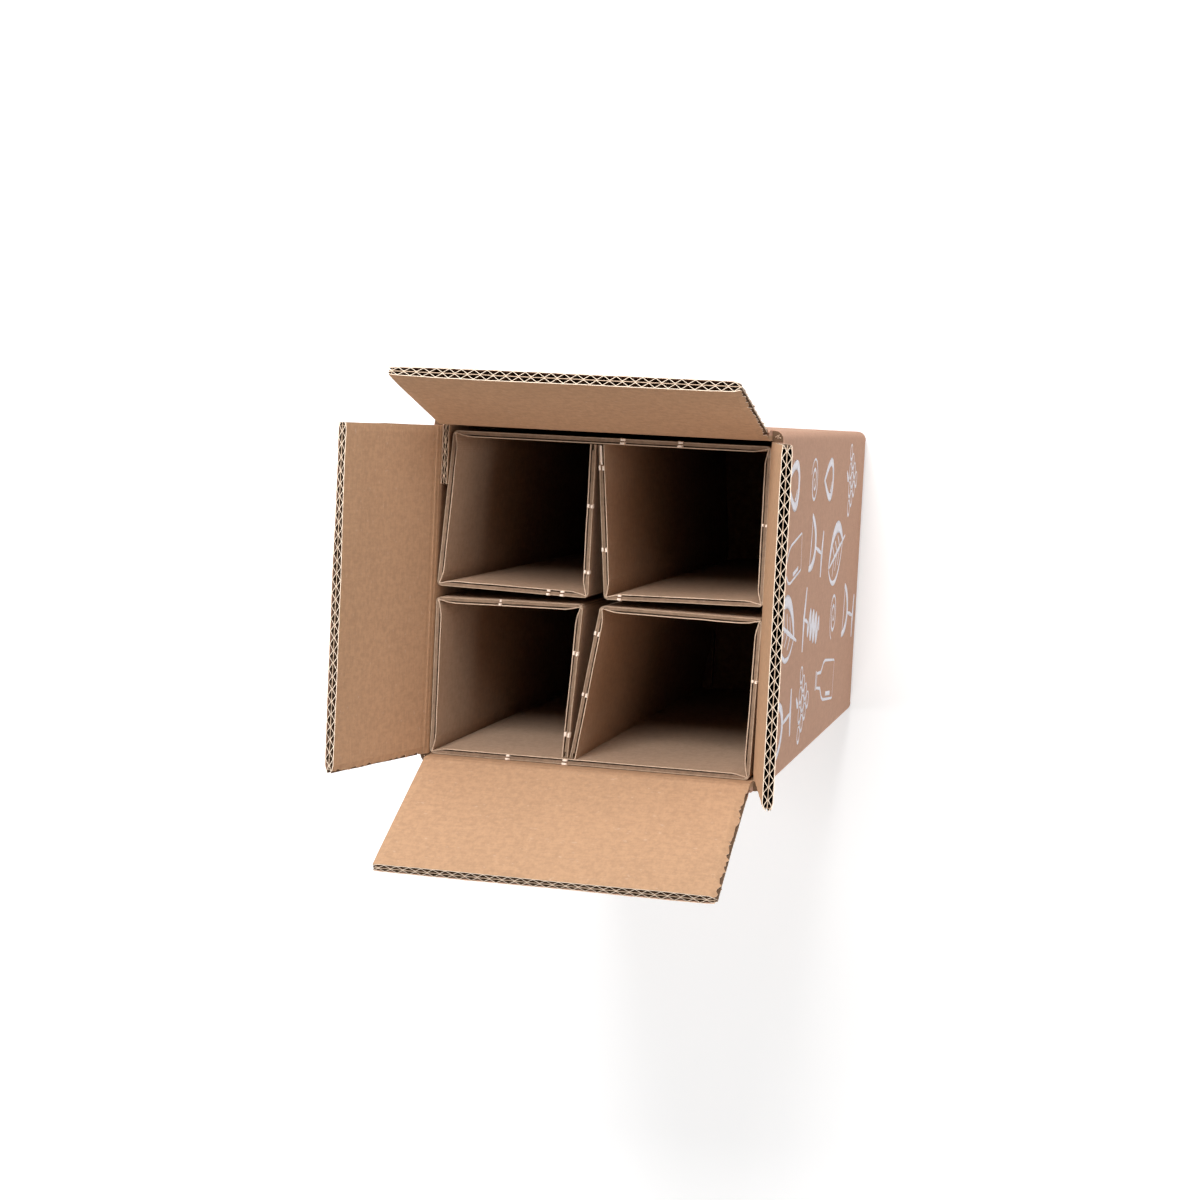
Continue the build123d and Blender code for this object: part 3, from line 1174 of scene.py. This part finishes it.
def grapes():
    strokes = [([(0.0, 1.75), (0.05, 1.95), (0.22, 2.15)], BROAD_STROKE, False)]
    for row in range(4):
        for berry in range(4 - row):
            x = (berry - (3 - row) / 2) * 0.46
            strokes.append((arc(x, 1.5 - 0.40 * row, 0.19, 0.19, 0, 345), FINE_STROKE, True))
    return strokes


def leaf():
    side = arc(-0.55, 0.8, 0.97, 0.97, -55, 55)
    other = [(-x, y) for x, y in side]
    veins = [
        ([(0, level), (way * 0.24, level + 0.22)], FINE_STROKE, False)
        for level in (0.35, 0.65, 0.95) for way in (-1, 1)
    ]
    return [
        (side, BROAD_STROKE, False), (other, FINE_STROKE, False),
        ([(0, -0.3), (0, 0.6), (0, 1.5)], FINE_STROKE, False), *veins,
    ]


def drop():
    turns = [2 * pi * step / STROKE_STEPS for step in range(STROKE_STEPS)]
    outline = [(0.55 * sin(turn) * sin(turn / 2) ** 1.5, 0.7 + 0.7 * cos(turn)) for turn in turns]
    return [(outline, BROAD_STROKE, True), (arc(0, 0.45, 0.26, 0.26, 190, 260), FINE_STROKE, False)]


def corkscrew():
    shares = [step / (3 * STROKE_STEPS) for step in range(3 * STROKE_STEPS + 1)]
    worm = [(0.20 * sin(2 * pi * 4 * share), 1.5 * share) for share in shares]
    return [
        (worm, BROAD_STROKE, False),
        ([(0, 1.5), (0, 1.7), (0, 1.9)], FINE_STROKE, False),
        ([(-0.55, 1.9), (0, 1.98), (0.55, 1.9)], BROAD_STROKE, False),
    ]


def tendril():
    spiral = []
    for step in range(2 * STROKE_STEPS + 1):
        share = step / (2 * STROKE_STEPS)
        reach, turn = 0.05 + 0.5 * share, 4.4 * pi * share
        spiral.append((reach * cos(turn), reach * sin(turn)))
    return [(spiral, FINE_STROKE, False)]


MOTIFS = {
    "glass": glass, "bottle": bottle, "grapes": grapes, "leaf": leaf,
    "drop": drop, "corkscrew": corkscrew, "tendril": tendril,
}


def painted(points, width, closed):
    """One stroke as a mesh, flat on the XY plane and fullest in its middle."""
    curve = bpy.data.curves.new("stroke", "CURVE")
    curve.dimensions = "3D"
    curve.bevel_depth = width / 2
    curve.bevel_resolution = 1
    curve.use_fill_caps = True
    line = curve.splines.new("POLY")
    line.points.add(len(points) - 1)
    line.use_cyclic_u = closed
    for index, (point, place) in enumerate(zip(line.points, points)):
        point.co = (*place, 0, 1)
        fullness = sin(pi * index / (len(points) - 1))
        point.radius = STROKE_TIP + (1 - STROKE_TIP) * fullness
    stroke = bpy.data.objects.new("stroke", curve)
    bpy.context.scene.collection.objects.link(stroke)
    select_only(stroke)
    bpy.ops.object.convert(target="MESH")
    return bpy.context.object


def wall_print():
    """All the motifs, laid on the right wall as one thin film of ink."""
    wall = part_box("carton_body")[1].x
    strokes = []
    for motif, across, up, size, turn in PRINT:
        scale = size * MM
        film = Matrix.Diagonal((scale, scale, INK_THICKNESS / BROAD_STROKE, 1))
        spot = ((0, 0, 1, wall + INK_LIFT), (1, 0, 0, across * MM), (0, 1, 0, up * MM), (0, 0, 0, 1))
        for points, width, closed in MOTIFS[motif]():
            stroke = painted(points, width, closed)
            settle(stroke, Matrix(spot) @ Matrix.Rotation(radians(turn), 4, "Z") @ film)
            strokes.append(stroke)
    ink = join("wall_print", strokes)
    finish_with(ink, INK)
    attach(ink, "carton")


wall_print()


# Camera, floor and light

def photo_camera():
    """The camera of the photograph, as fitted to the corners of the box."""
    lens = bpy.data.cameras.new("photo_camera")
    lens.sensor_width = SENSOR_WIDTH
    lens.lens = FOCAL_PIXELS / PHOTO_PIXELS * SENSOR_WIDTH
    camera = bpy.data.objects.new("photo_camera", lens)
    bpy.context.scene.collection.objects.link(camera)
    axes = (CAMERA_RIGHT, CAMERA_UP, -CAMERA_FORWARD, CAMERA_PLACE)
    camera.matrix_world = Matrix([[axis[row] for axis in axes] for row in range(3)] + [[0, 0, 0, 1]])
    bpy.context.scene.camera = camera


def seen_directly(tree):
    """1 for what the camera sees, also by a reflection or through glass, and 0 for other light."""
    path = node(tree, "LightPath").outputs
    seen = maths(tree, "MAXIMUM", path["Is Camera Ray"], path["Is Glossy Ray"])
    return maths(tree, "MAXIMUM", seen, path["Is Transmission Ray"])


def studio_floor():
    """A pale floor that the camera sees as white, with the soft shadow of the box."""
    floor = added(bpy.ops.mesh.primitive_plane_add, size=FLOOR_SIZE)
    floor.name = "studio_floor"
    material = bpy.data.materials.new("studio_floor")
    material.use_nodes = True
    tree = material.node_tree
    tree.nodes.clear()
    paint = node(tree, "BsdfDiffuse", Color=FLOOR_GREY)
    glow = node(tree, "Emission", Color=WHITE)
    level = maths(tree, "MULTIPLY", seen_directly(tree), FLOOR_GLOW)
    tree.links.new(level, glow.inputs["Strength"])
    both = node(tree, "AddShader")
    tree.links.new(paint.outputs[0], both.inputs[0])
    tree.links.new(glow.outputs[0], both.inputs[1])
    out = node(tree, "OutputMaterial")
    tree.links.new(both.outputs[0], out.inputs["Surface"])
    floor.data.materials.append(material)


def soft_box(name, place, power, size):
    """A square lamp that faces the mouth of the box."""
    lamp = bpy.data.lights.new(name, "AREA")
    lamp.energy = power
    lamp.size = size
    light = bpy.data.objects.new(name, lamp)
    light.location = place
    light.rotation_euler = (LAMP_AIM - Vector(place)).to_track_quat("-Z", "Y").to_euler()
    bpy.context.scene.collection.objects.link(light)


def studio_world():
    """Even fill from all round, which the camera sees as white."""
    world = bpy.data.worlds.new("studio")
    bpy.context.scene.world = world
    world.use_nodes = True
    tree = world.node_tree
    glow = maths(tree, "MULTIPLY", seen_directly(tree), 1 - FILL_LIGHT)
    level = maths(tree, "ADD", glow, FILL_LIGHT)
    backdrop = tree.nodes["Background"]
    backdrop.inputs["Color"].default_value = WHITE
    tree.links.new(level, backdrop.inputs["Strength"])


photo_camera()
studio_floor()
for lamp_name, (lamp_place, lamp_power, lamp_side) in LAMPS.items():
    soft_box(lamp_name, lamp_place, lamp_power, lamp_side)
studio_world()
bpy.context.scene.view_settings.view_transform = "Standard"
